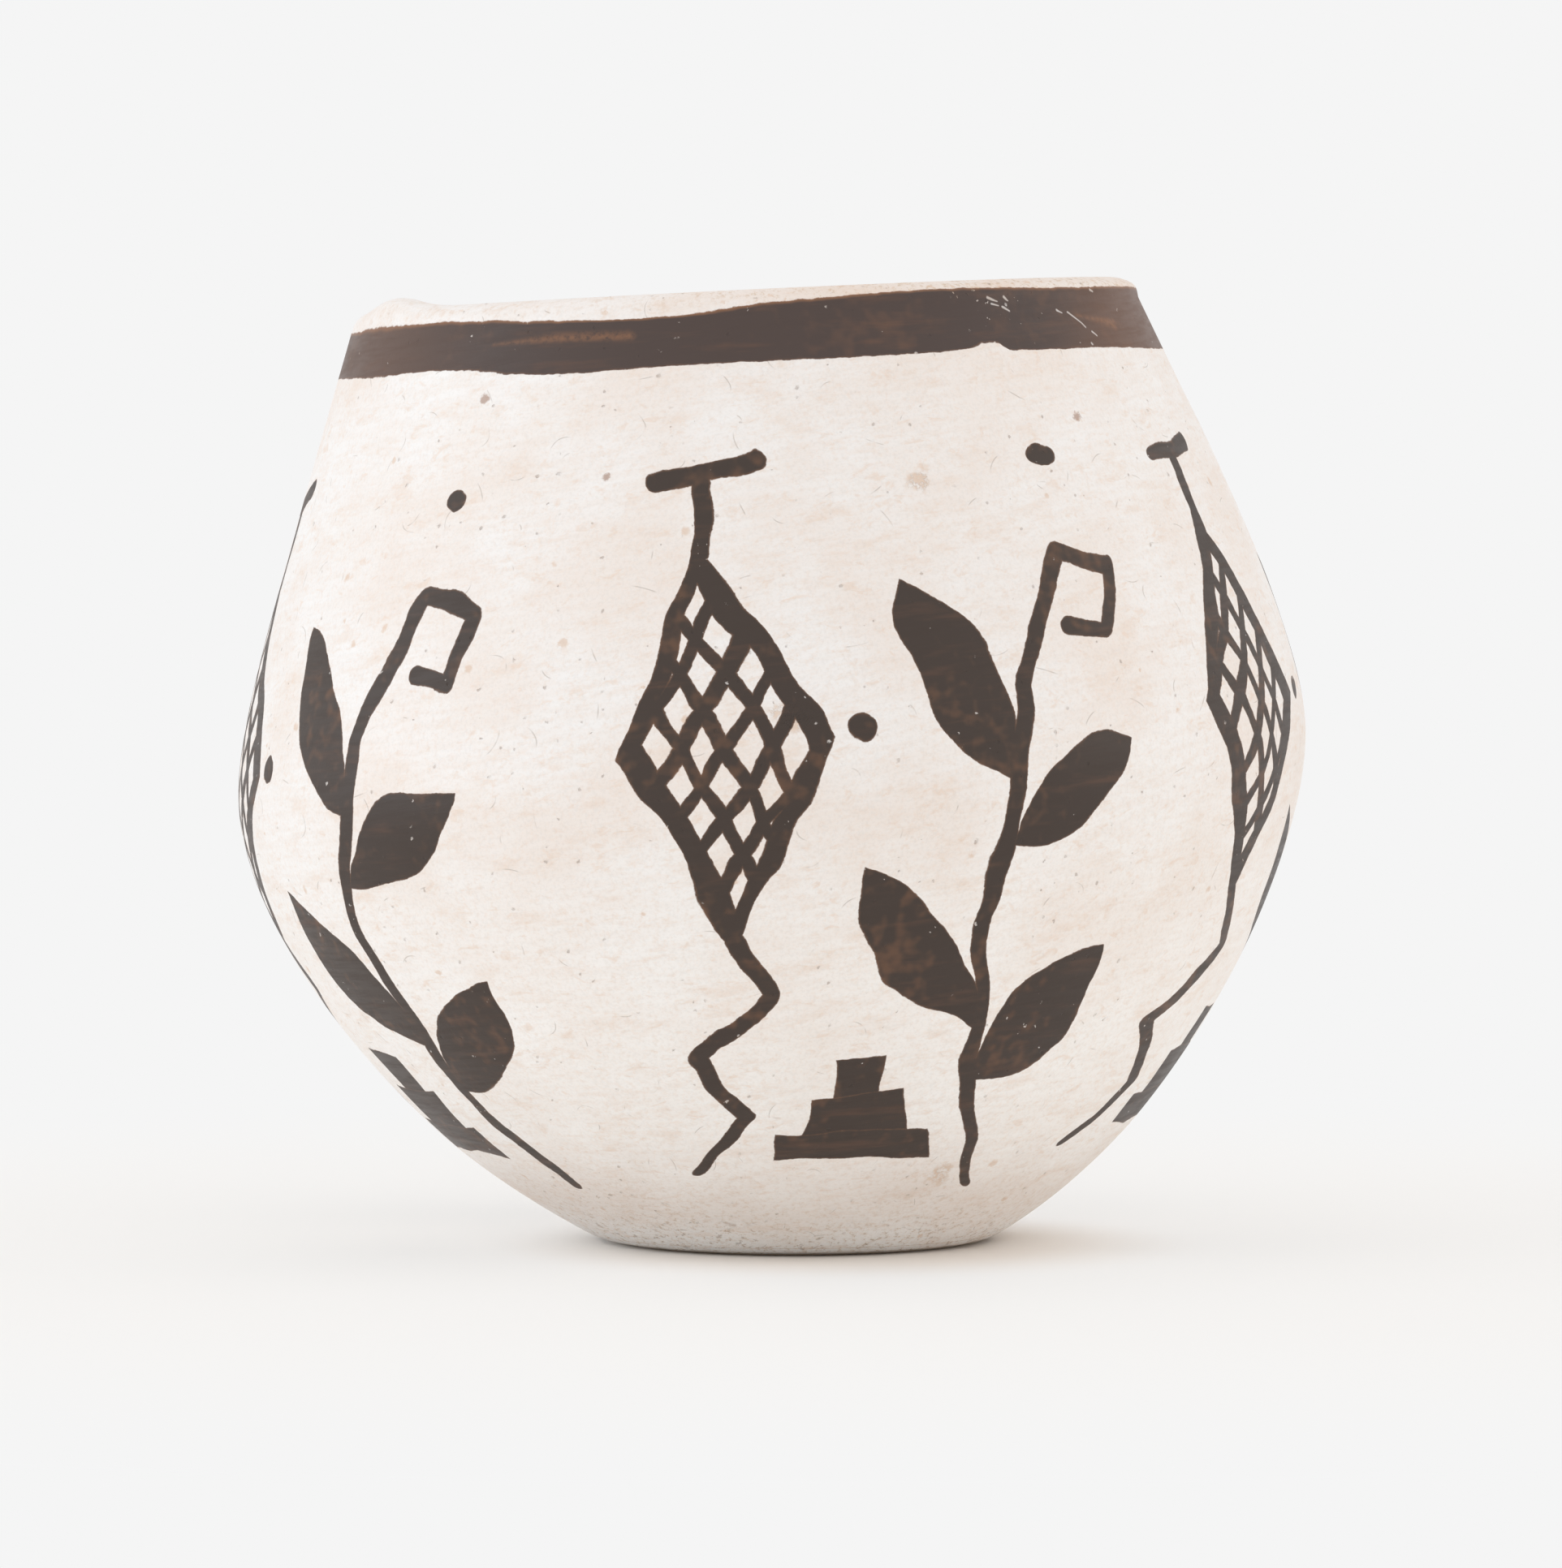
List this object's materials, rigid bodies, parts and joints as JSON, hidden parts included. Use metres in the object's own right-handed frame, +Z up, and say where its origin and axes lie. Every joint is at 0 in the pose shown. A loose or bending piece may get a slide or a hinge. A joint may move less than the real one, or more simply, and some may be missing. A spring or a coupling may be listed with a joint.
{
  "type": "clay pot",
  "caption": "Small hand-coiled round-bellied clay pot with a narrowed open mouth, white slip and a dark band under the lip.",
  "frame": {"origin": "on the table surface under the middle of the pot's width, at the foot's flat face level", "axes": "+Z up out of the mouth, +Y away from the side that the picture shows, +X to the right in the picture"},
  "size_m": [0.0658, 0.0658, 0.0593],
  "materials": {
    "fired_clay": "unglazed, matt",
    "white_slip": "stone-polished slip, satin",
    "dark_paint": "fired brown-black paint, satin"
  },
  "bodies": {
    "root": {"base_pad": "fired_clay", "lower_wall_coil": "fired_clay", "belly_coil": "fired_clay", "shoulder_coil": "fired_clay", "neck_coil": "fired_clay", "rim_coil": "fired_clay", "slip_coat": "white_slip", "rim_band": "dark_paint"}
  },
  "joints": []
}
